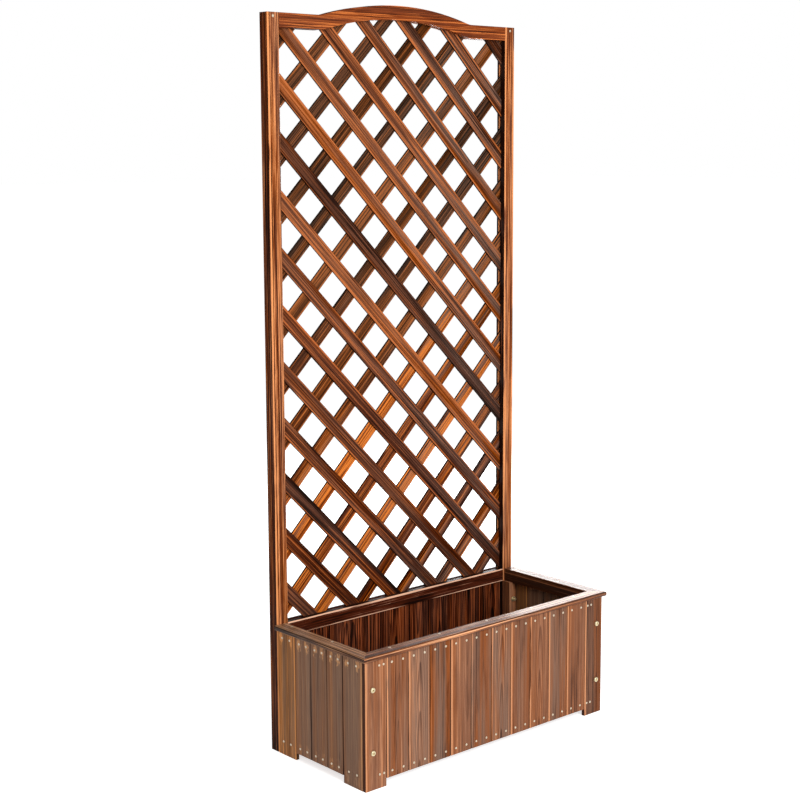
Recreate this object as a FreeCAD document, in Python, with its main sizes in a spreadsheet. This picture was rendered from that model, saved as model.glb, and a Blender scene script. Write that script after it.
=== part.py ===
"""Planter box with an arched lattice trellis at its back, in burnt softwood.

X runs along the box, Y from the front boards to the trellis and Z up from the floor.
The origin lies on the floor under the middle of the bounding box. Sizes are millimetres.
"""
import FreeCAD, Part

import math
import os
import re

import Sketcher
from FreeCAD import Placement, Rotation, Vector

doc = FreeCAD.newDocument("planter_with_trellis")


# ---------------------------------------------------------------- driving dimensions

DIMENSIONS = (
    ("box_length", 800, "between the outer faces of the side panels"),
    ("box_depth", 360, "front boards to the back of the trellis frame"),
    ("panel_height", 308, "floor to the top of the panel boards"),
    ("foot_drop", 18, "how far the leg boards reach below their neighbours"),
    ("board_thick", 10, "panel and floor boards"),
    ("board_gap", 1, "between neighbouring boards"),
    ("arris", 1.2, "chamfer along the long edges of a board"),
    ("front_leg_width", 64, "outer boards of the front panel, to the floor"),
    ("side_leg_width", 70, "outer boards of a side panel, to the floor"),
    ("front_infill", 10, "number of short boards in the front panel"),
    ("side_infill", 3, "number of short boards in a side panel"),
    ("back_boards", 11, "number of boards between the stiles"),
    ("back_inset", 8, "front of the back boards behind the frame's front"),
    ("batten_thick", 17, "battens that the boards are nailed to"),
    ("batten_tall", 22, "height of the battens"),
    ("post_wide", 24, "corner post, along the box"),
    ("post_deep", 28, "corner post, across the box"),
    ("floor_count", 10, "number of floor boards"),
    ("floor_gap", 7, "drainage gap between the floor boards"),
    ("fit_gap", 1, "clearance at the ends of the floor boards"),
    ("rim_width", 35, "flat rim boards"),
    ("rim_thick", 12, "flat rim boards"),
    ("rim_overhang", 8, "rim beyond the panels"),
    ("rim_round", 4, "rounding of the outer rim edges"),
    ("frame_depth", 30, "trellis frame, front to back"),
    ("frame_face", 34, "trellis frame, seen from the front"),
    ("frame_arris", 1.5, "chamfer of the stiles"),
    ("rail_arris", 1, "chamfer of the bottom rail"),
    ("stile_height", 1766, "floor to the top of the stiles"),
    ("arch_rise", 34, "middle of the arched rail above the stiles"),
    ("arch_half_chord", 238, "half the length of the arch"),
    ("arch_blend", 60, "hollow radius between the arch and its shoulders"),
    ("front_lip", 14, "frame in front of the lattice groove"),
    ("slat_seat", 8, "how deep slats and back boards enter a groove"),
    ("slat_thick", 4.5, "one layer of slats"),
    ("slat_width", 33, "slats, measured across"),
    ("lattice_angle", 45, "slats from the level"),
    ("lattice_pitch", 135, "crossing to crossing, level and upright"),
    ("lattice_centre", 1048, "height of the middle opening between the slats"),
    ("tenon_length", 22, "rail tenons in the stiles"),
    ("tenon_rise", 1, "tenons above the slats or the back boards"),
    ("head_tenon_tall", 22, "tenons of the arched rail, in height"),
    ("sill_tenon_tall", 16, "tenons of the bottom rail, in height"),
    ("nail_head_radius", 2.8, "board nails"),
    ("nail_head_height", 0.8, "board nails"),
    ("head_round", 0.6, "rounding of nail and screw heads, as a share of their height"),
    ("nail_shank_radius", 1.2, "board nails and rim screws"),
    ("nail_length", 21, "board nails under the head"),
    ("nail_inset", 16, "nails from the edges of their board"),
    ("front_corner_nail", 42, "outer nails of the front panel, past the posts"),
    ("front_inner_nail", 8, "nails at the inner edges of the front leg boards"),
    ("side_leg_nail", 20, "nails from both edges of the side leg boards"),
    ("nail_row", 15, "nail rows from the ends of the short boards"),
    ("screw_head_radius", 3.2, "rim screws"),
    ("screw_head_height", 0.8, "rim screws above the wood"),
    ("screw_length", 26, "rim screws under the head"),
    ("screw_spacing", 155, "rim screws"),
    ("screw_end", 35, "rim screws from the back ends of the side rims"),
    ("frame_screw_radius", 2, "screws through the rail tenons"),
    ("frame_screw_drop", 9, "upper frame screws below the stile tops"),
    ("bolt_head_radius", 6.5, "frame bolts"),
    ("bolt_head_height", 4, "frame bolts"),
    ("bolt_head_round", 0.55, "rounding of the bolt heads, as a share of their height"),
    ("bolt_socket_flats", 5, "hexagonal recess in the bolt heads"),
    ("bolt_socket_depth", 2.4, "hexagonal recess in the bolt heads"),
    ("bolt_radius", 3, "frame bolts"),
    ("bolt_tail", 3, "bolt beyond its nut"),
    ("bolt_low", 89, "height of the lower bolts"),
    ("bolt_high", 239, "height of the upper bolts"),
    ("washer_radius", 7.5, "washers under the nuts"),
    ("washer_thick", 1.5, "washers under the nuts"),
    ("nut_flats", 10, "across the flats of the nuts"),
    ("nut_thick", 5, "nuts"),
    ("bore_play", 0.15, "radial clearance of every bored hole"),
)


def fill_sheet():
    """Puts every driving dimension in a cell that has its name as alias."""
    table = doc.addObject("Spreadsheet::Sheet", "Sizes")
    for row, (alias, number, meaning) in enumerate(DIMENSIONS, start=1):
        table.set("A%d" % row, alias)
        table.set("B%d" % row, str(number))
        table.set("C%d" % row, meaning)
        table.setAlias("B%d" % row, alias)
    doc.recompute()
    return table


sheet = fill_sheet()


def size(alias):
    """The number in a cell, for shapes and counts that can't be bound to it."""
    return float(sheet.get(alias))


def cells(text):
    """An expression with the sheet's name put before every alias."""
    return re.sub(r"[a-z]\w*", lambda word: "Sizes." + word.group(0), text)


# The planes that most pieces are placed from.
LEFT = "-box_length / 2"
RIGHT = "box_length / 2"
FRONT = "(rim_overhang - box_depth - bolt_head_height) / 2"
BACK = FRONT + " + box_depth"
FRAME = BACK + " - frame_depth"
GROOVE = FRAME + " + front_lip"
BATTEN_TOP = "panel_height - batten_tall"
FLOOR_TOP = "foot_drop + batten_tall"
RIM_TOP = "panel_height + rim_thick"
INNER = "(box_length / 2 - frame_face)"
BACK_BOARDS = FRAME + " + back_inset"

OVERSHOOT = 1.0     # how far drills and recess tools reach past what they cut
DRAFT_STEP = 10.0   # spacing of outline corners before their constraints place them
PARALLEL = 0.999    # cosine above which an edge runs along an axis
TOUCHING = 0.01     # distance below which an edge lies on a board's outer face

pieces = []


# ---------------------------------------------------------------- building helpers

def bind(target, **expressions):
    """Binds properties to sheet expressions; two underscores stand for a dot."""
    for path, text in expressions.items():
        target.setExpression(path.replace("__", "."), cells(text))


def place(target, at, turn=0.0):
    """Turns an object about Z and binds where its own origin goes."""
    target.Placement = Placement(Vector(), Rotation(Vector(0, 0, 1), turn))
    bind(target, Placement__Base__x=at[0], Placement__Base__y=at[1], Placement__Base__z=at[2])


def named(kind, label):
    """A new document object whose label is the name given."""
    item = doc.addObject(kind, label)
    item.Label = label
    return item


def block(label, extent, at):
    """A plain cuboid, used for cuts, tenons and square-cut pieces."""
    cuboid = named("Part::Box", label)
    bind(cuboid, Length=extent[0], Width=extent[1], Height=extent[2])
    place(cuboid, at)
    return cuboid


def long_edges(shape, axis):
    """Names of the straight edges that run along an axis."""
    names = []
    for number, edge in enumerate(shape.Edges, start=1):
        ends = edge.Vertexes
        if len(ends) == 2:
            along = (ends[1].Point - ends[0].Point).normalize()
            if abs(along.dot(axis)) > PARALLEL:
                names.append("Edge%d" % number)
    return names


def eased_board(label, extent, at, turn=0.0, arris="arris", axis=Vector(0, 0, 1)):
    """A board with chamfered long edges: extent is width, thickness and height."""
    body = named("PartDesign::Body", label)
    blank = body.newObject("PartDesign::AdditiveBox", label + "_blank")
    bind(blank, Length=extent[0], Width=extent[1], Height=extent[2])
    place(body, at, turn)
    doc.recompute([blank])
    chamfer = body.newObject("PartDesign::Chamfer", label + "_arris")
    chamfer.Base = (blank, long_edges(blank.Shape, axis))
    bind(chamfer, Size=arris)
    return body


def joined(label, parts):
    """Several solids fused to one."""
    fuse = named("Part::MultiFuse", label)
    fuse.Shapes = parts
    return fuse


def cut(label, base, tools):
    """A solid less one or more others."""
    tool = tools[0]
    if len(tools) > 1:
        tool = named("Part::Compound", label + "_cuts")
        tool.Links = tools
    result = named("Part::Cut", label)
    result.Base = base
    result.Tool = tool
    return result


def keep(item, label):
    """Gives a finished piece its name and puts it on the list that is written out."""
    item.Label = label
    pieces.append(item)


# ---------------------------------------------------------------- panel boards

def front_panel():
    """Twelve upright boards: the two outer ones stand on the floor."""
    infill = int(size("front_infill"))
    pitch = "(box_length - 2 * front_leg_width) / front_infill"
    boards = []
    for number in range(infill + 2):
        is_leg = number in (0, infill + 1)
        left = "%s + front_leg_width + %d * %s" % (LEFT, number - 1, pitch)
        if number == 0:
            left = LEFT
        width = "front_leg_width" if is_leg else pitch
        foot = "0" if is_leg else "foot_drop"
        extent = (width + " - board_gap", "board_thick", "panel_height - (%s)" % foot)
        at = ("%s + board_gap / 2" % left, FRONT, foot)
        boards.append(eased_board("front_blank_%d" % (number + 1), extent, at))
    return boards


def side_panel(side):
    """Five upright boards from the front panel back to the stile."""
    infill = int(size("side_infill"))
    run = "(box_depth - frame_depth - board_thick)"
    pitch = "(%s - 2 * side_leg_width) / side_infill" % run
    boards = []
    for number in range(infill + 2):
        is_leg = number in (0, infill + 1)
        near = "%s + board_thick + side_leg_width + %d * %s" % (FRONT, number - 1, pitch)
        if number == 0:
            near = FRONT + " + board_thick"
        width = "side_leg_width" if is_leg else pitch
        foot = "0" if is_leg else "foot_drop"
        extent = (width + " - board_gap", "board_thick", "panel_height - (%s)" % foot)
        label = "%s_blank_%d" % (side, number + 1)
        if side == "left":
            far = "%s + %s - board_gap / 2" % (near, width)
            boards.append(eased_board(label, extent, (LEFT, far, foot), turn=-90.0))
        else:
            at = (RIGHT, "%s + board_gap / 2" % near, foot)
            boards.append(eased_board(label, extent, at, turn=90.0))
    return boards


def back_panel():
    """Eleven boards between the stiles, let into the underside of the bottom rail."""
    count = int(size("back_boards"))
    pitch = "2 * %s / back_boards" % INNER
    extent = (pitch + " - board_gap", "board_thick",
              "%s - frame_face + slat_seat - foot_drop" % RIM_TOP)
    boards = []
    for number in range(count):
        right = "-%s + %d * %s - board_gap / 2" % (INNER, number + 1, pitch)
        at = (right, BACK_BOARDS + " + board_thick", "foot_drop")
        boards.append(eased_board("back_blank_%d" % (number + 1), extent, at, turn=180.0))
    return boards


# ---------------------------------------------------------------- box frame

def top_battens():
    """Battens under the rim, above the corner posts."""
    wide = "box_length - 2 * board_thick"
    deep = "box_depth - frame_depth - board_thick - batten_thick"
    inside = FRONT + " + board_thick"
    front = block("batten_top_front_blank", (wide, "batten_thick", "batten_tall"),
                  (LEFT + " + board_thick", inside, BATTEN_TOP))
    left = block("batten_top_left_blank", ("batten_thick", deep, "batten_tall"),
                 (LEFT + " + board_thick", inside + " + batten_thick", BATTEN_TOP))
    right = block("batten_top_right_blank", ("batten_thick", deep, "batten_tall"),
                  (RIGHT + " - board_thick - batten_thick", inside + " + batten_thick", BATTEN_TOP))
    return {"batten_top_front": front, "batten_top_left": left, "batten_top_right": right}


def bottom_battens():
    """Battens between the corner posts, which also carry the floor boards."""
    wide = "2 * " + INNER
    deep = "box_depth - frame_depth - board_thick - 2 * post_deep"
    inside = FRONT + " + board_thick"
    front = block("batten_bottom_front_blank", (wide, "batten_thick", "batten_tall"),
                  ("-" + INNER, inside, "foot_drop"))
    back = block("batten_bottom_back_blank", (wide, "batten_thick", "batten_tall"),
                 ("-" + INNER, BACK_BOARDS + " - batten_thick", "foot_drop"))
    left = block("batten_bottom_left_blank", ("batten_thick", deep, "batten_tall"),
                 (LEFT + " + board_thick", inside + " + post_deep", "foot_drop"))
    right = block("batten_bottom_right_blank", ("batten_thick", deep, "batten_tall"),
                  (RIGHT + " - board_thick - batten_thick", inside + " + post_deep", "foot_drop"))
    return {"batten_bottom_front": front, "batten_bottom_back": back,
            "batten_bottom_left": left, "batten_bottom_right": right}


def corner_posts():
    """Four posts that the bolts pull the leg boards and the stiles against."""
    extent = ("post_wide", "post_deep", BATTEN_TOP + " - foot_drop")
    near = FRONT + " + board_thick"
    far = FRAME + " - post_deep"
    left = LEFT + " + board_thick"
    right = RIGHT + " - board_thick - post_wide"
    spots = {"post_front_left": (left, near), "post_front_right": (right, near),
             "post_back_left": (left, far), "post_back_right": (right, far)}
    return {label: eased_board(label + "_blank", extent, (x, y, "foot_drop"))
            for label, (x, y) in spots.items()}


def floor_boards():
    """Boards across the box with drainage gaps, resting on the front and back battens."""
    count = int(size("floor_count"))
    pitch = "(2 * %s + floor_gap) / floor_count" % INNER
    deep = "(box_depth - frame_depth + back_inset - board_thick - 2 * fit_gap)"
    boards = []
    for number in range(count):
        left = "-%s + %d * %s" % (INNER, number, pitch)
        extent = (pitch + " - floor_gap", deep, "board_thick")
        at = (left, FRONT + " + board_thick + fit_gap", FLOOR_TOP)
        boards.append(eased_board("floor_board_%d" % (number + 1), extent, at,
                                  axis=Vector(0, 1, 0)))
    row = named("Part::Compound", "floor_boards_row")
    row.Links = boards
    return row


# ---------------------------------------------------------------- rim

def polygon_sketch(body, corners, label):
    """A closed outline on the body's XY plane, its corners bound to the sheet."""
    sketch = body.newObject("Sketcher::SketchObject", label)
    plane = [item for item in body.Origin.OriginFeatures if item.Role == "XY_Plane"][0]
    sketch.AttachmentSupport = [(plane, "")]
    sketch.MapMode = "FlatFace"
    count = len(corners)
    start = [Vector(DRAFT_STEP * (i % 3), DRAFT_STEP * i, 0) for i in range(count)]
    for i in range(count):
        sketch.addGeometry(Part.LineSegment(start[i], start[(i + 1) % count]), False)
    for i in range(count):
        sketch.addConstraint(Sketcher.Constraint("Coincident", i, 2, (i + 1) % count, 1))
    for i, (across, along) in enumerate(corners):
        for kind, text in (("DistanceX", across), ("DistanceY", along)):
            number = sketch.addConstraint(Sketcher.Constraint(kind, -1, 1, i, 1, 1.0))
            sketch.setExpression("Constraints[%d]" % number, cells(text))
    return sketch


def rim_board(label, corners, at, outer_axis):
    """A flat rim board: its outer edges are rounded above and below."""
    body = named("PartDesign::Body", label)
    sketch = polygon_sketch(body, corners, label + "_outline")
    pad = body.newObject("PartDesign::Pad", label + "_pad")
    pad.Profile = sketch
    bind(pad, Length="rim_thick")
    place(body, at)
    doc.recompute([sketch, pad])
    names = []
    for number, edge in enumerate(pad.Shape.Edges, start=1):
        middle = edge.CenterOfMass
        outside = min(outer_axis.dot(corner.Point) for corner in pad.Shape.Vertexes)
        on_face = abs(outer_axis.dot(middle) - outside) < TOUCHING
        if on_face and edge.Length > size("rim_width"):
            names.append("Edge%d" % number)
    fillet = body.newObject("PartDesign::Fillet", label + "_round")
    fillet.Base = (pad, names)
    bind(fillet, Radius="rim_round")
    return body


def rim():
    """Three rim boards, mitred at the front and butted against the stiles."""
    over = "(box_length + 2 * rim_overhang)"
    run = "(rim_overhang + box_depth - frame_depth)"
    corner = (LEFT + " - rim_overhang", FRONT + " - rim_overhang", "panel_height")
    front = rim_board("rim_front_blank", (
        ("0", "0"), (over, "0"),
        (over + " - rim_width", "rim_width"), ("rim_width", "rim_width")), corner, Vector(0, 1, 0))
    left = rim_board("rim_left_blank", (
        ("0", "0"), ("rim_width", "rim_width"),
        ("rim_width", run), ("0", run)), corner, Vector(1, 0, 0))
    right_corner = (RIGHT + " + rim_overhang - rim_width", corner[1], corner[2])
    right = rim_board("rim_right_blank", (
        ("rim_width", "0"), ("rim_width", run),
        ("0", run), ("0", "rim_width")), right_corner, Vector(-1, 0, 0))
    return {"rim_front": front, "rim_left": left, "rim_right": right}


# ---------------------------------------------------------------- trellis frame

def bow_line(level):
    """The arched line over the opening, left to right: shoulders, blends and bow."""
    half = size("box_length") / 2 - size("frame_face")
    rise, chord, blend = size("arch_rise"), size("arch_half_chord"), size("arch_blend")
    radius = (chord ** 2 + rise ** 2) / (2 * rise)
    bow_centre = Vector(0, level + rise - radius, 0)
    reach = math.sqrt((radius + blend) ** 2 - (radius + blend - rise) ** 2)
    swing = math.asin(reach / (radius + blend))
    up = math.pi / 2
    bow = Part.ArcOfCircle(Part.Circle(bow_centre, Vector(0, 0, 1), radius), up - swing, up + swing)
    line = []
    for side in (-1, 1):
        centre = Vector(side * reach, level + blend, 0)
        circle = Part.Circle(centre, Vector(0, 0, 1), blend)
        foot = Vector(side * reach, level, 0)
        shoulder = Part.LineSegment(Vector(side * half, level, 0), foot)
        if side < 0:
            hollow = Part.ArcOfCircle(circle, -up, -up + swing)
            line += [shoulder, hollow, bow]
        else:
            hollow = Part.ArcOfCircle(circle, -up - swing, -up)
            line += [hollow, shoulder]
    return line


def band(upper, lower):
    """Closes two lines over the same width to a profile."""
    half = size("box_length") / 2 - size("frame_face")
    sides = [Part.LineSegment(Vector(side * half, upper[0], 0), Vector(side * half, lower[0], 0))
             for side in (-1, 1)]
    return upper[1] + lower[1] + sides


def flat_line(level):
    """A straight line across the opening."""
    half = size("box_length") / 2 - size("frame_face")
    return [Part.LineSegment(Vector(-half, level, 0), Vector(half, level, 0))]


def upright_sketch(body, profile, label):
    """A sketch on the body's XZ plane, drawn from ready geometry."""
    sketch = body.newObject("Sketcher::SketchObject", label)
    plane = [item for item in body.Origin.OriginFeatures if item.Role == "XZ_Plane"][0]
    sketch.AttachmentSupport = [(plane, "")]
    sketch.MapMode = "FlatFace"
    for geometry in profile:
        sketch.addGeometry(geometry, False)
    return sketch


# Where the tenons start: above the slat ends at the head, above the back boards below.
HEAD_TENON = "stile_height - frame_face + slat_seat + tenon_rise"
SILL_TENON = RIM_TOP + " - frame_face + slat_seat + tenon_rise"


def tenons(rail, low, tall):
    """The two stub tenons of a rail, in line with the lattice groove."""
    extent = ("tenon_length + slat_seat", "2 * slat_thick", tall)
    left = block(rail + "_tenon_left", extent, ("-%s - tenon_length" % INNER, GROOVE, low))
    right = block(rail + "_tenon_right", extent, (INNER + " - slat_seat", GROOVE, low))
    return [left, right]


def arch_rail():
    """The arched head rail with its tenons and the groove for the slats."""
    top = size("stile_height")
    under = top - size("frame_face")
    seat = under + size("slat_seat")
    body = named("PartDesign::Body", "arch_rail_blank")
    sketch = upright_sketch(body, band((top, bow_line(top)), (under, bow_line(under))),
                            "arch_rail_outline")
    pad = body.newObject("PartDesign::Pad", "arch_rail_pad")
    pad.Profile = sketch
    pad.Reversed = True
    bind(pad, Length="frame_depth")
    place(body, ("0", FRAME, "0"))
    groove = named("PartDesign::Body", "arch_rail_groove")
    low = under - size("frame_face")
    cutter = upright_sketch(groove, band((seat, bow_line(seat)), (low, flat_line(low))),
                            "arch_rail_groove_outline")
    slot = groove.newObject("PartDesign::Pad", "arch_rail_groove_pad")
    slot.Profile = cutter
    slot.Reversed = True
    bind(slot, Length="2 * slat_thick")
    place(groove, ("0", GROOVE, "0"))
    grooved = cut("arch_rail_grooved", body, [groove])
    return joined("arch_rail_whole", [grooved] + tenons("arch_rail", HEAD_TENON, "head_tenon_tall"))


def bottom_rail():
    """The straight rail behind the rim, grooved for the slats and for the back boards."""
    low = RIM_TOP + " - frame_face"
    rail = eased_board("bottom_rail_blank", ("2 * " + INNER, "frame_depth", "frame_face"),
                       ("-" + INNER, FRAME, low), arris="rail_arris", axis=Vector(1, 0, 0))
    upper = block("bottom_rail_slat_groove", ("2 * " + INNER, "2 * slat_thick", "frame_face"),
                  ("-" + INNER, GROOVE, RIM_TOP + " - slat_seat"))
    lower = block("bottom_rail_board_groove", ("2 * " + INNER, "board_thick", "frame_face"),
                  ("-" + INNER, BACK_BOARDS, low + " + slat_seat - frame_face"))
    grooved = cut("bottom_rail_grooved", rail, [upper, lower])
    return joined("bottom_rail_whole", [grooved] + tenons("bottom_rail", SILL_TENON, "sill_tenon_tall"))


def stile(side):
    """An upright of the trellis, grooved for the slats and mortised for both rails."""
    outer = LEFT if side == "left" else INNER
    body = eased_board("stile_%s_blank" % side, ("frame_face", "frame_depth", "stile_height"),
                       (outer, FRAME, "0"), arris="frame_arris")

    def mouth(label, depth, low, tall):
        """A recess in the inner face, in line with the lattice."""
        start = "-%s - %s" % (INNER, depth) if side == "left" else INNER
        return block("stile_%s_%s" % (side, label), (depth, "2 * slat_thick", tall),
                     (start, GROOVE, low))

    groove = mouth("groove", "slat_seat", SILL_TENON, "%s - (%s)" % (HEAD_TENON, SILL_TENON))
    lower = mouth("lower_mortise", "tenon_length", SILL_TENON, "sill_tenon_tall")
    upper = mouth("upper_mortise", "tenon_length", HEAD_TENON, "head_tenon_tall")
    return cut("stile_%s_mortised" % side, body, [groove, lower, upper])


# ---------------------------------------------------------------- lattice

def lattice_field():
    """The flat area that the slats fill, with their ends in the grooves."""
    half = size("box_length") / 2 - size("frame_face")
    seat = size("slat_seat")
    low = size("panel_height") + size("rim_thick") - seat
    under = size("stile_height") - size("frame_face") + seat
    head = bow_line(under)
    shoulder = [Part.LineSegment(Vector(side * (half + seat), under, 0), Vector(side * half, under, 0))
                for side in (-1, 1)]
    foot = [Vector(-half - seat, low, 0), Vector(half + seat, low, 0)]
    sides = [Part.LineSegment(foot[0], Vector(-half - seat, under, 0)),
             Part.LineSegment(foot[1], Vector(half + seat, under, 0)),
             Part.LineSegment(foot[0], foot[1])]
    edges = [curve.toShape() for curve in head + shoulder + sides]
    outline = Part.Wire(Part.__sortEdges__(edges))
    face = Part.Face(outline)
    face.rotate(Vector(), Vector(1, 0, 0), 90)
    return face


def lattice_layer(lean, depth):
    """Slanting parallel slats that are cut to the field, without offcuts: lean is 1 or -1."""
    width, thick, angle = size("slat_width"), size("slat_thick"), size("lattice_angle")
    spacing = size("lattice_pitch") * math.sin(math.radians(angle))
    middle = Vector(0, depth, size("lattice_centre"))
    field = lattice_field().translate(Vector(0, depth, 0)).extrude(Vector(0, thick, 0))
    reach = field.BoundBox.DiagonalLength
    offcut = width * width * thick / 4
    half_count = math.ceil(reach / spacing / 2)
    slats = []
    for number in range(-half_count, half_count):
        shift = (number + 0.5) * spacing
        slat = Part.makeBox(reach, thick, width, Vector(-reach / 2, 0, shift - width / 2))
        slat.rotate(Vector(), Vector(0, 1, 0), angle * lean)
        slat.translate(middle)
        slats += [solid for solid in slat.common(field).Solids if solid.Volume > offcut]
    return slats


def lattice():
    """Both layers, each a group of separate slats: the front ones fall to the right."""
    front = front_plane() + size("box_depth") - size("frame_depth") + size("front_lip")
    layers = (("lattice_front_slats", 1, front),
              ("lattice_back_slats", -1, front + size("slat_thick")))
    for label, lean, depth in layers:
        layer = named("Part::Feature", label)
        layer.Shape = Part.makeCompound(lattice_layer(lean, depth))
        keep(layer, label)


# ---------------------------------------------------------------- fasteners

def along(direction):
    """The rotation that takes +Z to a direction."""
    return Rotation(Vector(0, 0, 1), direction)


def headed(head_radius, head_height, shank_radius, length):
    """A nail or screw: its head stands on the surface, its shank goes down."""
    head = Part.makeCylinder(head_radius, head_height)
    rounded = head.makeFillet(head_height * size("head_round"), [head.Edges[0]])
    shank = Part.makeCylinder(shank_radius, length, Vector(0, 0, -length))
    return rounded.fuse(shank).removeSplitter()


def hexagon(flats, height, base):
    """A hexagonal prism along Z."""
    radius = flats / math.sqrt(3)
    corners = [Vector(radius * math.cos(math.radians(60 * i)),
                      radius * math.sin(math.radians(60 * i)), base) for i in range(7)]
    return Part.Face(Part.makePolygon(corners)).extrude(Vector(0, 0, height))


def spread(template, sites):
    """Copies of a template, each at a point with its +Z along a direction."""
    copies = []
    for point, direction in sites:
        copy = template.copy()
        copy.Placement = Placement(point, along(direction))
        copies.append(copy)
    return Part.makeCompound(copies)


def bores(label, radius, length, sites):
    """Drills for the sites, with play, that the wood around them is cut with."""
    reach = length + OVERSHOOT
    drill = Part.makeCylinder(radius + size("bore_play"), reach, Vector(0, 0, -reach))
    tool = named("Part::Feature", label)
    tool.Shape = spread(drill, sites)
    return tool


def group(label, template, sites):
    """A node of identical fasteners, each a solid of its own."""
    node = named("Part::Feature", label)
    node.Shape = spread(template, sites)
    keep(node, label)


def nail_sites(boards, outward, rows, corner, inner):
    """Two nails in each row of each board; the panel's end boards have their own insets."""
    across = Vector(abs(outward.y), abs(outward.x), 0)
    sites = []
    for number, board in enumerate(boards):
        box = board.Shape.BoundBox
        low, high = Vector(box.XMin, box.YMin, 0), Vector(box.XMax, box.YMax, 0)
        insets = [size("nail_inset"), size("nail_inset")]
        if number == 0:
            insets = [corner, inner]
        if number == len(boards) - 1:
            insets = [inner, corner]
        face = max(outward.dot(low), outward.dot(high))
        for reach in (across.dot(low) + insets[0], across.dot(high) - insets[1]):
            for row in rows:
                sites.append((across * reach + outward * face + Vector(0, 0, row), outward))
    return sites


def front_plane():
    """Y of the front boards' face."""
    return (size("rim_overhang") - size("box_depth") - size("bolt_head_height")) / 2


def rim_sites():
    """Screws down into the middle of the battens: five at the front, two at each side."""
    up = Vector(0, 0, 1)
    top = size("panel_height") + size("rim_thick")
    line = size("board_thick") + size("batten_thick") / 2
    spacing = size("screw_spacing")
    sites = [(Vector(spacing * i, front_plane() + line, top), up) for i in (-2, -1, 0, 1, 2)]
    last = front_plane() + size("box_depth") - size("frame_depth") - size("screw_end")
    for side in (-1, 1):
        x = side * (size("box_length") / 2 - line)
        sites += [(Vector(x, last - spacing * i, top), up) for i in (0, 1)]
    return sites


def bolt_sites():
    """Two bolts at each corner: the front ones point forward, the others back."""
    x = size("box_length") / 2 - size("board_thick") - size("post_wide") / 2
    spots = [(side * x, z) for side in (-1, 1) for z in (size("bolt_low"), size("bolt_high"))]
    back = front_plane() + size("box_depth")
    front_sites = [(Vector(x, front_plane(), z), Vector(0, -1, 0)) for x, z in spots]
    back_sites = [(Vector(x, back, z), Vector(0, 1, 0)) for x, z in spots]
    return front_sites, back_sites


def bolt_template(grip):
    """A bolt with a domed, hexagon-socket head."""
    head_radius, head_height = size("bolt_head_radius"), size("bolt_head_height")
    head = Part.makeCylinder(head_radius, head_height)
    head = head.makeFillet(head_height * size("bolt_head_round"), [head.Edges[0]])
    length = grip + size("washer_thick") + size("nut_thick") + size("bolt_tail")
    shank = Part.makeCylinder(size("bolt_radius"), length, Vector(0, 0, -length))
    depth = size("bolt_socket_depth")
    socket = hexagon(size("bolt_socket_flats"), depth + OVERSHOOT, head_height - depth)
    return head.fuse(shank).cut(socket).removeSplitter()


def bolts(front_sites, back_sites):
    """Bolts, washers and nuts, with the grip that each pair of layers needs."""
    front_grip = size("board_thick") + size("post_deep")
    back_grip = size("frame_depth") + size("post_deep")
    shapes = spread(bolt_template(front_grip), front_sites).Solids
    shapes += spread(bolt_template(back_grip), back_sites).Solids
    node = named("Part::Feature", "bolts")
    node.Shape = Part.makeCompound(shapes)
    keep(node, "bolts")
    grips = [(front_sites, front_grip), (back_sites, back_grip)]
    under = [(point - way * grip, way) for sites, grip in grips for point, way in sites]
    thick, play = size("washer_thick"), size("bore_play")
    span = thick + size("nut_thick") + OVERSHOOT
    hole = Part.makeCylinder(size("bolt_radius") + play, 2 * span, Vector(0, 0, -span))
    washer = Part.makeCylinder(size("washer_radius"), thick, Vector(0, 0, -thick)).cut(hole)
    group("washers", washer, under)
    nut = hexagon(size("nut_flats"), size("nut_thick"), -thick - size("nut_thick")).cut(hole)
    group("nuts", nut, under)


def frame_screw_sites():
    """A screw through each tenon: the upper ones from the front, the lower ones from behind."""
    x = size("box_length") / 2 - size("frame_face") / 2
    back = front_plane() + size("box_depth")
    front = back - size("frame_depth")
    high = size("stile_height") - size("frame_screw_drop")
    low = size("panel_height") + size("rim_thick") - size("frame_face") / 2
    upper = [(Vector(side * x, front, high), Vector(0, -1, 0)) for side in (-1, 1)]
    lower = [(Vector(side * x, back, low), Vector(0, 1, 0)) for side in (-1, 1)]
    return upper + lower


# ---------------------------------------------------------------- the whole object

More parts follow.
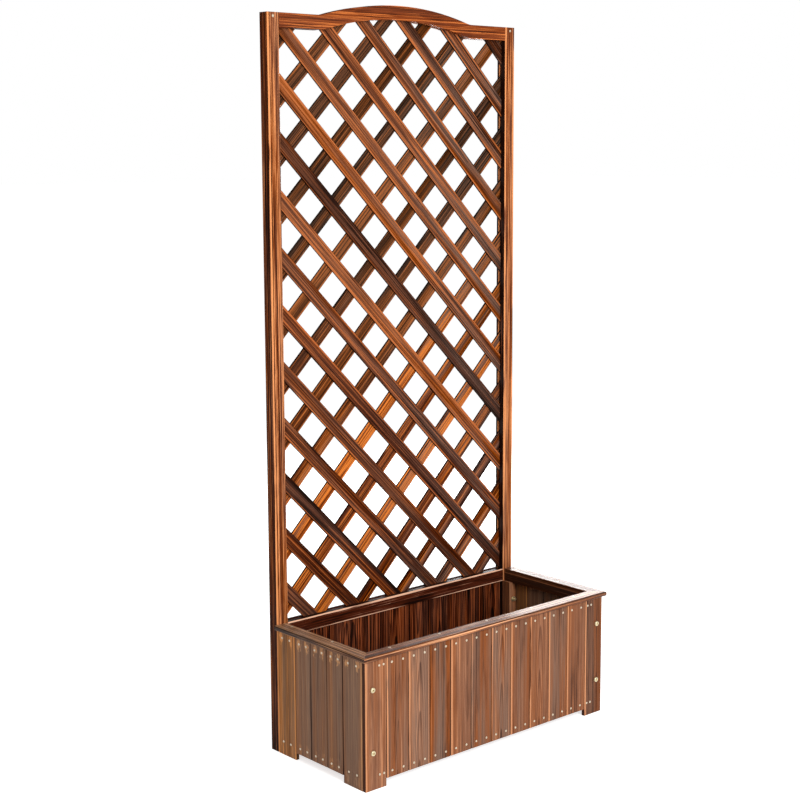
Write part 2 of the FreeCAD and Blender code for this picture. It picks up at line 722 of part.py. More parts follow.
def build():
    """Makes every blank, bores it for its fasteners and lists it under its name."""
    fronts, backs = front_panel(), back_panel()
    lefts, rights = side_panel("left"), side_panel("right")
    battens = {**top_battens(), **bottom_battens()}
    posts, rims, floor = corner_posts(), rim(), floor_boards()
    head, sill = arch_rail(), bottom_rail()
    stiles = {side: stile(side) for side in ("left", "right")}
    doc.recompute()

    row = size("nail_row")
    rows = (size("foot_drop") + row, size("panel_height") - row)
    corner, inner = size("front_corner_nail"), size("front_inner_nail")
    leg, plain = size("side_leg_nail"), size("nail_inset")
    nails = nail_sites(fronts, Vector(0, -1, 0), rows, corner, inner)
    nails += nail_sites(lefts, Vector(-1, 0, 0), rows, leg, leg)
    nails += nail_sites(rights, Vector(1, 0, 0), rows, leg, leg)
    nails += nail_sites(backs, Vector(0, 1, 0), rows[:1], plain, plain)
    screws, frame_screws = rim_sites(), frame_screw_sites()
    front_bolts, back_bolts = bolt_sites()

    nail_bores = bores("nail_bores", size("nail_shank_radius"), size("nail_length"), nails)
    screw_bores = bores("screw_bores", size("nail_shank_radius"), size("screw_length"), screws)
    frame_length = size("front_lip") + 2 * size("slat_thick")
    frame_bores = bores("frame_bores", size("frame_screw_radius"), frame_length, frame_screws)
    bolt_length = size("frame_depth") + size("post_deep")
    bolt_bores = bores("bolt_bores", size("bolt_radius"), bolt_length, front_bolts + back_bolts)

    for number, board in enumerate(fronts, start=1):
        is_leg = number in (1, len(fronts))
        tools = [nail_bores, bolt_bores] if is_leg else [nail_bores]
        label = "front_board_%d" % number
        keep(cut(label, board, tools), label)
    for side, boards in (("left", lefts), ("right", rights), ("back", backs)):
        for number, board in enumerate(boards, start=1):
            label = "%s_board_%d" % (side, number)
            keep(cut(label, board, [nail_bores]), label)
    for label, batten in battens.items():
        tools = [nail_bores, screw_bores] if "top" in label else [nail_bores]
        keep(cut(label, batten, tools), label)
    for label, post_blank in posts.items():
        keep(cut(label, post_blank, [nail_bores, bolt_bores]), label)
    for label, board in rims.items():
        keep(cut(label, board, [screw_bores]), label)
    keep(floor, "floor_boards")
    keep(cut("arch_rail", head, [frame_bores]), "arch_rail")
    keep(cut("bottom_rail", sill, [frame_bores]), "bottom_rail")
    for side, blank in stiles.items():
        label = "stile_" + side
        keep(cut(label, blank, [frame_bores, bolt_bores]), label)
    lattice()

    shank = size("nail_shank_radius")
    nail = headed(size("nail_head_radius"), size("nail_head_height"), shank, size("nail_length"))
    group("board_nails", nail, nails)
    head_radius, head_height = size("screw_head_radius"), size("screw_head_height")
    screw = headed(head_radius, head_height, shank, size("screw_length"))
    group("rim_screws", screw, screws)
    long_screw = headed(head_radius, head_height, size("frame_screw_radius"), frame_length)
    group("frame_screws", long_screw, frame_screws)
    bolts(front_bolts, back_bolts)
    doc.recompute()


def check_and_write():
    """Stops on any failed object or broken solid, then writes every piece."""
    for item in doc.Objects:
        if "Invalid" in item.State or "Error" in item.State:
            raise RuntimeError("%s failed: %s" % (item.Label, item.State))
    os.makedirs("parts", exist_ok=True)
    for item in pieces:
        shape = item.Shape
        if shape.isNull() or not shape.isValid() or not shape.Solids:
            raise RuntimeError("%s has no valid solid" % item.Label)
        shape.exportStep("parts/%s.step" % item.Label)
        box = shape.BoundBox
        print("%-22s solids %3d  volume %10.0f  z %6.1f..%6.1f" % (
            item.Label, len(shape.Solids), shape.Volume, box.ZMin, box.ZMax))
    print("%d pieces" % len(pieces))


build()
check_and_write()
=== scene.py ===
"""The looks of the planter with its lattice trellis: burnt and brushed fir, dull zinc fasteners.

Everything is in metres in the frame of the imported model: X along the box, Y from the front
boards to the trellis, Z up from the floor.
"""

import math
import random

import bpy
from mathutils import Matrix, Vector


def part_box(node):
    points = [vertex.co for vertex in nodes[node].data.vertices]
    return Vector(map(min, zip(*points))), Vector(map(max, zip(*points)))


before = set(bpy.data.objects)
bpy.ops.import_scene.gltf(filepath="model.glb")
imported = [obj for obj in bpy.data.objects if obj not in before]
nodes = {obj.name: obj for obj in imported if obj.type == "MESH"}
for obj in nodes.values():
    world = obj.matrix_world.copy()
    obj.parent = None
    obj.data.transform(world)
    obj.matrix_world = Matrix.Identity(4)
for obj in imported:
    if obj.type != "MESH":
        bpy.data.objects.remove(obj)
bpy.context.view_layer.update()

X_AXIS, Y_AXIS, Z_AXIS = range(3)


# ---------------------------------------------------------------- colours

def srgb(red, green, blue):
    """A colour given as 0..255 display values, as the linear colour that a shader takes."""
    def linear(value):
        value /= 255
        return value / 12.92 if value <= 0.04045 else ((value + 0.055) / 1.055) ** 2.4
    return (linear(red), linear(green), linear(blue), 1.0)


def look(dark, middle, light):
    """A wood's burnt, plain and worn colours, as inputs of its shader."""
    return dict(Dark=srgb(*dark), Middle=srgb(*middle), Light=srgb(*light))


WHITE = (1.0, 1.0, 1.0, 1.0)
BROWN = look((56, 28, 15), (122, 73, 45), (182, 124, 86))
GREYED = look((48, 27, 17), (121, 84, 61), (176, 126, 84))
RUSSET = look((50, 17, 4), (110, 47, 13), (190, 106, 50))
REDDISH = look((24, 6, 2), (80, 31, 12), (236, 184, 152))
SOOTY = look((12, 4, 1), (58, 20, 7), (156, 80, 42))
PLAIN = look((62, 36, 18), (126, 82, 46), (190, 124, 68))
STREAKED = look((30, 10, 4), (112, 53, 22), (208, 134, 82))
RIM_BROWN = look((46, 20, 9), (118, 66, 36), (214, 152, 108))
SLAT_HIGH = look((32, 12, 5), (93, 47, 23), (160, 90, 48))
SLAT_LOW = look((18, 6, 2), (70, 30, 13), (160, 84, 40))
BACK_HIGH = look((28, 15, 7), (74, 42, 22), (138, 78, 40))
BACK_LOW = look((34, 10, 3), (108, 48, 16), (204, 112, 42))


# ---------------------------------------------------------------- shader building

class Tree:
    """Short calls that add nodes to a shader tree and join them."""

    def __init__(self, tree):
        self.tree = tree
        self.tree.nodes.clear()

    def add(self, kind, **settings):
        """A node of a kind, with its properties set."""
        node = self.tree.nodes.new(kind)
        for name, value in settings.items():
            setattr(node, name, value)
        return node

    def put(self, socket, value):
        """Joins a socket to another node's output, or sets its own value."""
        if isinstance(value, bpy.types.NodeSocket):
            self.tree.links.new(value, socket)
        else:
            socket.default_value = value

    def put_all(self, node, values):
        """Fills a node's inputs in their order."""
        for socket, value in zip(node.inputs, values):
            self.put(socket, value)

    def math(self, operation, *values, clamp=False):
        node = self.add("ShaderNodeMath", operation=operation, use_clamp=clamp)
        self.put_all(node, values)
        return node.outputs[0]

    def vector(self, operation, *values):
        node = self.add("ShaderNodeVectorMath", operation=operation)
        self.put_all(node, values)
        return node.outputs["Value" if operation == "LENGTH" else "Vector"]

    def combine(self, x, y, z):
        node = self.add("ShaderNodeCombineXYZ")
        self.put_all(node, (x, y, z))
        return node.outputs[0]

    def separate(self, vector):
        node = self.add("ShaderNodeSeparateXYZ")
        self.put(node.inputs[0], vector)
        return node.outputs

    def place(self):
        """The object's own coordinates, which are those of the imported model."""
        return self.add("ShaderNodeTexCoord").outputs["Object"]

    def noise(self, vector, scale, detail=2.0, roughness=0.5):
        node = self.add("ShaderNodeTexNoise")
        self.put(node.inputs["Vector"], vector)
        self.put(node.inputs["Scale"], scale)
        self.put(node.inputs["Detail"], detail)
        self.put(node.inputs["Roughness"], roughness)
        return node.outputs["Fac"]

    def step(self, value, low, high, start=0.0, end=1.0):
        """A smooth step from start to end as value goes from low to high."""
        node = self.add("ShaderNodeMapRange", interpolation_type="SMOOTHSTEP")
        self.put_all(node, (value, low, high, start, end))
        return node.outputs[0]

    def mix(self, factor, first, second):
        node = self.add("ShaderNodeMix", data_type="RGBA", clamp_factor=True)
        self.put(node.inputs["Factor"], factor)
        self.put(node.inputs[6], first)
        self.put(node.inputs[7], second)
        return node.outputs[2]

    def relief(self, height, strength, distance):
        """The normal of a surface that a height bumps."""
        node = self.add("ShaderNodeBump")
        self.put(node.inputs["Strength"], strength)
        self.put(node.inputs["Distance"], distance)
        self.put(node.inputs["Height"], height)
        return node.outputs[0]

    def surface(self, inputs):
        """A principled shader with inputs given by name, as the surface of the material."""
        shader = self.add("ShaderNodeBsdfPrincipled")
        for name, value in inputs.items():
            self.put(shader.inputs[name], value)
        out = self.add("ShaderNodeOutputMaterial")
        self.put(out.inputs["Surface"], shader.outputs[0])


# ---------------------------------------------------------------- burnt fir

# What the wood takes. Vectors are across, through and along the grain, in metres, and the
# tone runs from burnt (0) over plain (0.5) to worn (1).
FIR_INPUTS = (
    ("Point", "NodeSocketVector", (0, 0, 0)),           # from the middle of the piece
    ("Half", "NodeSocketVector", (0.03, 0.005, 0.15)),  # half the size of the piece
    ("Pith", "NodeSocketVector", (0, 0.05, 0)),         # middle of the year rings
    ("Tilt", "NodeSocketVector", (0, 0.05, 0)),         # how the pith leans along the grain
    ("Seed", "NodeSocketFloat", 0.0),                   # where in the noise the piece lies
    ("Dark", "NodeSocketColor", BROWN["Dark"]),         # burnt
    ("Middle", "NodeSocketColor", BROWN["Middle"]),     # plain
    ("Light", "NodeSocketColor", BROWN["Light"]),       # worn
    ("Level", "NodeSocketFloat", 0.5),                  # mean tone
    ("Contrast", "NodeSocketFloat", 1.0),               # streaks
    ("Figure", "NodeSocketFloat", 0.2),                 # year rings
    ("Veins", "NodeSocketFloat", 0.5),                  # thin dark and pale lines
    ("Patina", "NodeSocketFloat", 0.4),                 # grey patches on unworn wood
    ("Burn", "NodeSocketFloat", 0.3),                   # dark clouds
    ("Band", "NodeSocketFloat", 0.0),                   # pale middle and dark sides
    ("Wear", "NodeSocketFloat", 0.5),                   # worn arrises, partly a painted highlight along the edges
    ("Near", "NodeSocketFloat", 0.0),                   # worn strip along the low edge, partly a painted highlight on that arris
    ("Far", "NodeSocketFloat", 0.0),                    # worn strip along the high edge, partly a painted highlight on that arris
    ("Seam", "NodeSocketFloat", 0.6),                   # burnt lines along both edges, partly painted shade in the seams
    ("Sides", "NodeSocketFloat", 0.0),                  # burnt narrow faces; below 0 they are painted pale, a painted highlight
    ("Nails", "NodeSocketFloat", 0.0),                  # bleached spots round the nails
    ("Rough", "NodeSocketFloat", 0.5),                  # mean roughness
)
FIR_OUTPUTS = (
    ("Color", "NodeSocketColor"),
    ("Roughness", "NodeSocketFloat"),
    ("Height", "NodeSocketFloat"),
)

# Noise of the grain: its scale across, and how much of that is left along the grain.
STREAK = (70.0, 0.008)
COARSE = (190.0, 0.010)
FINE = (430.0, 0.007)
FIBRE = (1300.0, 0.010)
CLOUD = (24.0, 0.14)
RING_FRAY = (110.0, 0.03)
VEIN_GROUP = (30.0, 0.03)
DARK_VEIN = (95.0, 0.006)
PALE_VEIN = (80.0, 0.006)
EDGE_LINE_GAPS = (26.0, 0.16)
NAIL_FRAY = (170.0, 0.5)
GREY_PATCH = (40.0, 0.04)

# Sizes of the marks in metres. A pair is where a mark begins to end and where it has ended.
RING_WIDTH = 0.0034
PITH_WANDER = 0.008
HEART = (0.011, 0.017)
SEAM = (0.0006, 0.0018)
NARROW_FACE = (0.0002, 0.0009)
STRIP_START = (0.0003, 0.0006)
STRIP_END = (0.0036, 0.0052)
ARRIS = (0.0012, 0.0024)
NAIL_INSET = 0.016
NAIL_ROW = 0.015
NAIL_SPOT = (0.003, 0.009)

# Marks on the wood: the input that gives the strength, and what strength 1 adds to the tone.
MARKS = {
    "ring": ("Figure", 0.6),
    "heart": ("Figure", -0.3),
    "dark_vein": ("Veins", -0.38),
    "pale_vein": ("Veins", 0.42),
    "cloud": ("Burn", -0.5),
    "band": ("Band", 0.45),
    "seam_burn_and_shade": ("Seam", -0.9),
    "narrow_face": ("Sides", -0.6),
    "near_wear_and_highlight": ("Near", 1.3),
    "far_wear_and_highlight": ("Far", 1.3),
    "arris": ("Wear", 0.8),
    "nail_spot": ("Nails", 0.6),
}
LATE_SHARE = 0.35           # about how much of a ring is dark late wood

# What the grey patches do, from where their noise is low to where it is high.
GREY_FROM_TO = (-0.14, 0.14)
GREYING = {"Hue": (0.497, 0.508), "Saturation": (1.1, 0.72), "Value": (1.0, 0.78)}


class Fir(Tree):
    """The tree of the wood group, with the sockets that its parts share."""

    def __init__(self, group):
        super().__init__(group)
        self.given = self.add("NodeGroupInput").outputs
        self.across, self.through, self.along = self.separate(self.given["Point"])
        self.seed = self.given["Seed"]
        self.offset = self.combine(self.seed, self.math("MULTIPLY", self.seed, 1.7), 0.0)
        self.half = self.separate(self.given["Half"])
        self.inward = [self.math("SUBTRACT", half, self.math("ABSOLUTE", place))
                       for half, place in zip(self.half, (self.across, self.through, self.along))]
        self.coarse = self.grain(COARSE)
        self.fibre = self.grain(FIBRE, roughness=0.7)

    def grain(self, kind, detail=2.0, roughness=0.55):
        """Noise about zero that is drawn out along the grain."""
        scale, stretch = kind
        along = self.math("MULTIPLY", self.along, stretch)
        drawn = self.vector("ADD", self.combine(self.across, self.through, along), self.offset)
        return self.math("SUBTRACT", self.noise(drawn, scale, detail, roughness), 0.5)

    def line(self, value, centre, width):
        """1 where the value is near the centre: a thin contour line of the noise."""
        off = self.math("ABSOLUTE", self.math("SUBTRACT", value, centre))
        return self.below(off, (width * 0.3, width))

    def below(self, value, band):
        """1 below the band, 0 above it and a smooth step between."""
        return self.step(value, *band, 1.0, 0.0)

    def frayed(self, distance, noise, reach):
        """A distance that the noise makes ragged."""
        return self.math("MULTIPLY_ADD", noise, reach, distance)

    def total(self, first, weight, others):
        """A weighted sum of sockets."""
        value = self.math("MULTIPLY", first, weight)
        for other, weight in others:
            value = self.math("MULTIPLY_ADD", other, weight, value)
        return value

    def mark(self, tone, name, pattern):
        """The tone with a mark on it where the pattern is 1."""
        strength, change = MARKS[name]
        pattern = self.math("MULTIPLY", pattern, self.given[strength])
        return self.math("MULTIPLY_ADD", pattern, change, tone)

    def from_pith(self, place, tilt, pith):
        """How far a place is from the leaning pith, in one direction."""
        return self.math("SUBTRACT", place, self.math("MULTIPLY_ADD", tilt, self.along, pith))

    def year_rings(self):
        """The distance from a pith that wanders a little, and 1 in the late wood of a ring."""
        slow = self.combine(self.math("MULTIPLY", self.along, 3.0), self.seed, 0.0)
        wander = self.math("SUBTRACT", self.noise(slow, 1.0), 0.5)
        pith = self.separate(self.given["Pith"])
        tilt = self.separate(self.given["Tilt"])
        from_u = self.from_pith(self.across, tilt[0], pith[0])
        from_u = self.math("MULTIPLY_ADD", wander, PITH_WANDER, from_u)
        from_v = self.from_pith(self.through, tilt[1], pith[1])
        radius = self.vector("LENGTH", self.combine(from_u, from_v, 0.0))
        radius = self.frayed(radius, self.grain(RING_FRAY), 0.0016)
        ring = self.math("FRACT", self.math("DIVIDE", radius, RING_WIDTH))
        darkens, ends = self.step(ring, 0.35, 0.9), self.step(ring, 0.93, 1.0)
        return radius, self.math("SUBTRACT", darkens, ends, clamp=True)

    def grain_tone(self, radius, late):
        """Streaks, year rings, veins and clouds."""
        fine = self.grain(FINE, roughness=0.6)
        swing = self.total(self.grain(STREAK), 0.55,
                           ((self.coarse, 0.75), (fine, 2.4), (self.fibre, 1.2)))
        tone = self.math("MULTIPLY_ADD", swing, self.given["Contrast"], self.given["Level"])
        tone = self.mark(tone, "ring", self.math("SUBTRACT", LATE_SHARE, late))
        tone = self.mark(tone, "heart", self.below(radius, HEART))
        here = self.step(self.grain(VEIN_GROUP), -0.06, 0.08)
        dark = self.line(self.grain(DARK_VEIN), 0.01, 0.03)
        pale = self.line(self.grain(PALE_VEIN), -0.03, 0.022)
        tone = self.mark(tone, "dark_vein", self.math("MULTIPLY", dark, here))
        tone = self.mark(tone, "pale_vein", self.math("SUBTRACT", pale, here, clamp=True))
        cloud = self.grain(CLOUD, detail=3.0, roughness=0.6)
        return self.mark(tone, "cloud", self.step(cloud, 0.02, 0.16))

    def edge_tone(self, tone):
        """Burnt seams with painted shade in them and narrow faces, then the worn strips and
        arrises, partly painted highlights, over them.
        """
        in_u, in_v, _ = self.inward
        half_u = self.half[0]
        aside = self.math("DIVIDE", in_u, half_u)
        tone = self.mark(tone, "band", self.step(aside, 0.25, 0.75, -0.35, 0.65))
        # burnt edges, partly painted shade in the chamfers and gaps between boards
        tone = self.mark(tone, "seam_burn_and_shade", self.below(self.frayed(in_u, self.coarse, 0.006), SEAM))
        tone = self.mark(tone, "narrow_face", self.below(in_u, NARROW_FACE))
        kept = self.step(self.grain(EDGE_LINE_GAPS), -0.18, 0.0)
        back = self.math("MULTIPLY", self.across, -1.0)
        # worn strips along the edges, partly painted highlights where the edges catch the light
        for name, place in (("near_wear_and_highlight", self.across), ("far_wear_and_highlight", back)):
            to_edge = self.math("ADD", place, half_u)
            strip = self.below(self.frayed(to_edge, self.coarse, 0.008), STRIP_END)
            strip = self.math("MULTIPLY", strip, kept)
            strip = self.math("MULTIPLY", strip, self.step(to_edge, *STRIP_START))
            tone = self.mark(tone, name, strip)
        # worn arrises, partly painted highlights where the edges catch the light
        corner = self.frayed(self.math("ADD", in_u, in_v), self.coarse, 0.004)
        return self.mark(tone, "arris", self.math("MULTIPLY", self.below(corner, ARRIS), kept))

    def nail_tone(self, tone):
        """Bleached spots round the nails, longer along the grain and stronger at the top."""
        in_u, _, in_a = self.inward
        spot_u = self.math("SUBTRACT", in_u, NAIL_INSET)
        spot_a = self.math("MULTIPLY", self.math("SUBTRACT", in_a, NAIL_ROW), 0.55)
        spot = self.vector("LENGTH", self.combine(spot_u, spot_a, 0.0))
        spot = self.below(self.frayed(spot, self.grain(NAIL_FRAY), 0.03), NAIL_SPOT)
        upper = self.step(self.along, -0.05, 0.05, 0.35, 1.0)
        return self.mark(tone, "nail_spot", self.math("MULTIPLY", spot, upper))

    def color(self, tone):
        """The three colours by tone, with grey patches where the wood isn't worn."""
        lower = self.mix(self.step(tone, -0.05, 0.5), self.given["Dark"], self.given["Middle"])
        color = self.mix(self.step(tone, 0.5, 1.1), lower, self.given["Light"])
        patch = self.grain(GREY_PATCH, detail=3.0)
        greyer = self.add("ShaderNodeHueSaturation")
        for name, (start, end) in GREYING.items():
            self.put(greyer.inputs[name], self.step(patch, *GREY_FROM_TO, start, end))
        self.put(greyer.inputs["Color"], color)
        unworn = self.math("MULTIPLY", self.below(tone, (0.7, 1.0)), self.given["Patina"])
        return self.mix(unworn, color, greyer.outputs[0])


def fir_group():
    """The wood of every piece: colour, roughness and height at a point of its grain.

    Streaks, veins and fibres are noise drawn out along the grain, and the figure is cut from
    year rings round a leaning pith.
    """
    group = bpy.data.node_groups.new("burnt_fir", "ShaderNodeTree")
    for name, kind, value in FIR_INPUTS:
        socket = group.interface.new_socket(name, in_out="INPUT", socket_type=kind)
        socket.default_value = value
    for name, kind in FIR_OUTPUTS:
        group.interface.new_socket(name, in_out="OUTPUT", socket_type=kind)
    t = Fir(group)
    radius, late = t.year_rings()
    tone = t.nail_tone(t.edge_tone(t.grain_tone(radius, late)))
    rough = t.math("MULTIPLY_ADD", t.coarse, 0.4, t.given["Rough"])
    height = t.total(t.coarse, 1.2, ((t.fibre, 0.8), (late, 0.5)))
    color = t.color(tone)
    out = t.add("NodeGroupOutput")
    t.put_all(out, (color, rough, height))
    return group


FIR = fir_group()

# Which object axes run across, through and along the grain.
UPRIGHT_FRONT = "XYZ"
UPRIGHT_SIDE = "YXZ"
ALONG_X_FLAT = "YZX"
ALONG_Y_FLAT = "XZY"
ALONG_X_TALL = "ZYX"

# Specular levels of the wood.
DEAD_MATT = 0.02
MATT = 0.06
SHEEN = 0.1
STRONG_SHEEN = 0.12

WOOD_BUMP_STRENGTH = 0.4
WOOD_BUMP_DISTANCE = 0.0008


def by_place(axis, low, high, start, end):
    """An input that changes from start to end between two places along an axis."""
    def value(t):
        return t.step(t.separate(t.place())[axis], low, high, start, end)
    return value


def wood_surface(t, point, half, seed, gloss, inputs):
    """Burnt fir at a point of the grain, for a piece with these half sizes.

    The seed gives the rings and the place in the noise where the inputs don't.
    """
    rng = random.Random(seed)
    values = {
        "Point": point,
        "Half": half,
        "Pith": (rng.uniform(-0.022, 0.022), rng.uniform(0.010, 0.022), 0.0),
        "Tilt": (rng.uniform(-0.02, 0.02), rng.choice((-1, 1)) * rng.uniform(0.01, 0.05), 0.0),
        "Seed": rng.uniform(0.0, 50.0),
    }
    values.update(inputs)
    group = t.add("ShaderNodeGroup", node_tree=FIR)
    for name, value in values.items():
        t.put(group.inputs[name], value(t) if callable(value) else value)
    t.surface({
        "Base Color": group.outputs["Color"],
        "Roughness": group.outputs["Roughness"],
        "Normal": t.relief(group.outputs["Height"], WOOD_BUMP_STRENGTH, WOOD_BUMP_DISTANCE),
        "Specular IOR Level": gloss,
    })


def new_material(name):
    """An empty node material and its tree."""
    material = bpy.data.materials.new(name)
    material.use_nodes = True
    return material, Tree(material.node_tree)


def dress(node, material):
    """Makes a material the only one of a CAD node."""
    mesh = nodes[node].data
    mesh.materials.clear()
    mesh.materials.append(material)


def wood(node, order, seed, kind, gloss=MATT, **more):
    """Burnt fir on a single board or rail: its grain's axes, its wood and other inputs."""
    low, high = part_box(node)
    centre, half = (low + high) / 2, (high - low) / 2
    axes = ["XYZ".index(letter) for letter in order]
    material, t = new_material(node + "_fir")
    place = t.separate(t.vector("SUBTRACT", t.place(), tuple(centre)))
    point = t.combine(*(place[axis] for axis in axes))
    wood_surface(t, point, tuple(half[axis] for axis in axes), seed, gloss, {**kind, **more})
    dress(node, material)


def in_a_row(prefix, axis):
    """The names of a row of boards, in the order of their places along an axis."""
    names = [name for name in nodes if name.startswith(prefix)]
    return sorted(names, key=lambda name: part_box(name)[0][axis])


# ---------------------------------------------------------------- walls of the box

# Front boards from left to right: tone, year rings, worn line with a painted highlight along the
# left edge, greying.
FRONT_BOARDS = (
    # The last board's low tone is painted shade: the right end of the front is darker where less
    # light falls.
    (0.66, 0.1, 0.9, 0.4), (0.48, 0.3, 1.0, 0.7), (0.54, 0.6, 0.6, 0.8), (0.44, 0.1, 0.2, 1.0),
    (0.54, 0.2, 1.0, 0.4), (0.47, 0.1, 0.3, 0.8), (0.52, 0.6, 0.2, 0.9), (0.45, 0.1, 1.0, 0.6),
    (0.53, 0.6, 0.6, 0.3), (0.43, 0.3, 1.0, 0.9), (0.48, 0.1, 0.6, 0.3), (0.26, 0.2, 1.2, 0.5),
)
FIGURED = 0.6
CATHEDRAL = {"Pith": (0.002, 0.012, 0.0), "Tilt": (0.01, 0.028, 0.0)}

# Tones of the side boards from the front to the trellis.
SIDE_BOARDS = (0.56, 0.47, 0.45, 0.51, 0.56)

BACK_TONE = 0.48
BACK_MIDDLE = (5, 6)
BACK_MIDDLE_TONE = 0.66


def dress_front():
    """Front boards. Those with strong rings show them as tall arches."""
    for number, name in enumerate(in_a_row("front_board_", X_AXIS)):
        level, figure, near, greying = FRONT_BOARDS[number]
        rings = CATHEDRAL if figure >= FIGURED else {}
        wood(name, UPRIGHT_FRONT, 100 + number, BROWN, Level=level, Figure=figure, Near=near,
             Patina=greying, Contrast=0.5, Veins=0.3, Seam=0.9, Burn=0.4, **rings)


def dress_sides():
    """Side boards: dull and grey, but the rear one is plainer wood with livelier grain."""
    last = len(SIDE_BOARDS) - 1
    for side in ("left", "right"):
        for number, name in enumerate(in_a_row(side + "_board_", Y_AXIS)):
            rear = number == last
            wood(name, UPRIGHT_SIDE, 200 + number, PLAIN if rear else GREYED,
                 Contrast=0.7 if rear else 0.5, Veins=0.6 if rear else 0.2,
                 Far=0.6 if rear else 0.0, Near=0.4 if number in (0, last) else 0.0,
                 Figure=0.15, Burn=0.2, Seam=0.6, Wear=0.2, Nails=0.9, Patina=0.5,
                 Level=SIDE_BOARDS[number])


def dress_back():
    """Back boards: nearly black between bright streaks."""
    for number, name in enumerate(in_a_row("back_board_", X_AXIS)):
        wood(name, UPRIGHT_FRONT, 300 + number, SOOTY, Figure=0.8, Veins=0.9, Contrast=1.1,
             Seam=0.8, Level=BACK_MIDDLE_TONE if number in BACK_MIDDLE else BACK_TONE)


# ---------------------------------------------------------------- rim, frame and inside

RIM_PAINTED_SHEEN = (0.06, 0.14)       # where along X the front rim turns paler: a painted sheen of the light behind the box
RIM_ROUGH = 0.36
STILE_CHANGE = (0.7, 0.9)       # where along Z the left stile's sides turn paler


def dress_rim():
    """Flat boards on the walls, glossier than the rest."""
    wood("rim_front", ALONG_X_FLAT, 401, RIM_BROWN, gloss=SHEEN, Veins=0.7, Seam=0.8, Wear=0.2,
         Contrast=1.3, Patina=0.4, Rough=RIM_ROUGH,
         # the tone rises to the right: a painted sheen, the reflection of the light behind the
         # box
         Level=by_place(X_AXIS, *RIM_PAINTED_SHEEN, 0.42, 0.62),
         # the front edge of the rim is painted pale: a painted highlight where the key light
         # falls
         Sides=by_place(X_AXIS, *RIM_PAINTED_SHEEN, -1.3, -0.8))
    wood("rim_left", ALONG_Y_FLAT, 402, GREYED, gloss=STRONG_SHEEN, Level=0.84, Seam=1.0,
         Patina=0.7, Veins=1.3, Contrast=2.2, Wear=0.3)
    wood("rim_right", ALONG_Y_FLAT, 403, BROWN, gloss=SHEEN, Level=0.5, Seam=0.3, Patina=0.4,
         Rough=RIM_ROUGH)


def dress_frame():
    """Stiles and rails of the trellis. The bottom rail's upper edge is worn and painted with a
    highlight only in front.
    """
    # Near and Far on the stiles paint pale edge lines: wear and a painted highlight on the
    # arrises
    wood("stile_left", UPRIGHT_FRONT, 411, STREAKED, gloss=DEAD_MATT, Contrast=1.3, Veins=1.0,
         Near=0.9, Seam=0.2, Level=0.5, Sides=by_place(Z_AXIS, *STILE_CHANGE, 0.55, 0.2))
    wood("stile_right", UPRIGHT_FRONT, 412, STREAKED, Contrast=1.2, Veins=0.9, Near=0.8, Seam=0.4,
         Level=0.52, Sides=0.9, Far=0.8)
    wood("arch_rail", ALONG_X_TALL, 413, RUSSET, Contrast=1.0, Veins=0.9, Level=0.5, Wear=0.7,
         Patina=0.1)
    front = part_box("stile_left")[0].y
    wood("bottom_rail", ALONG_X_TALL, 414, REDDISH, Wear=1.3, Seam=0.0, Level=0.26, Veins=0.2,
         # a pale line along the front of the upper edge: wear and a painted highlight
         Far=by_place(Y_AXIS, front, front + 0.003, 1.0, 0.0), Near=0.2, Sides=0.5,
         Contrast=0.75, Patina=0.2, Burn=0.5)


def dress_inside():
    """Battens, corner posts and floor boards."""
    long_battens = ("batten_top_front", "batten_bottom_front", "batten_bottom_back")
    short_battens = ("batten_top_left", "batten_top_right",
                     "batten_bottom_left", "batten_bottom_right")
    for number, name in enumerate(long_battens):
        wood(name, ALONG_X_TALL, 420 + number, SOOTY)
    for number, name in enumerate(short_battens):
        wood(name, ALONG_Y_FLAT, 430 + number, BROWN, Level=0.3)
    for number, name in enumerate(sorted(name for name in nodes if name.startswith("post_"))):
        wood(name, UPRIGHT_FRONT, 440 + number, BROWN, Seam=0.3, Level=0.75)
    wood("floor_boards", ALONG_Y_FLAT, 450, SOOTY)


# ---------------------------------------------------------------- slats

SLAT_SPACING = 0.135 / math.sqrt(2)     # from slat to slat, measured across them
SLAT_HALF = (0.0165, 0.00225, 1.0)
LATTICE_CENTRE = 1.048                  # height of the middle opening
RIGHTWARD = (-0.1, 0.35)                # where along X the slats turn darker and greyer
UPWARD = (-0.35, 0.55)                  # where above the centre the woods change

# Each layer is one node: its slats' lean, a seed, the woods low and high on the trellis, how
# much paler the middle of a slat is, and the contrast of its streaks.
SLAT_LAYERS = {
    "lattice_front_slats": (-1, 503, SLAT_LOW, SLAT_HIGH, 0.1, 0.85),
    "lattice_back_slats": (1, 520, BACK_LOW, BACK_HIGH, 0.5, 1.1),
}


def slat_point(t, x, y, z, lean):
    """The point of the grain on a layer of slats, and the number of the slat it is on.

    The slats rise to the right (lean 1) or fall to the right (lean -1).
    """
    root = math.sqrt(0.5)
    along = t.math("MULTIPLY", t.math("MULTIPLY_ADD", z, float(lean), x), root)
    over = t.math("MULTIPLY", t.math("MULTIPLY_ADD", x, float(-lean), z), root)
    number = t.math("FLOOR", t.math("DIVIDE", over, SLAT_SPACING))
    centre = t.math("MULTIPLY", t.math("ADD", number, 0.5), SLAT_SPACING)
    return t.combine(t.math("SUBTRACT", over, centre), y, along), number


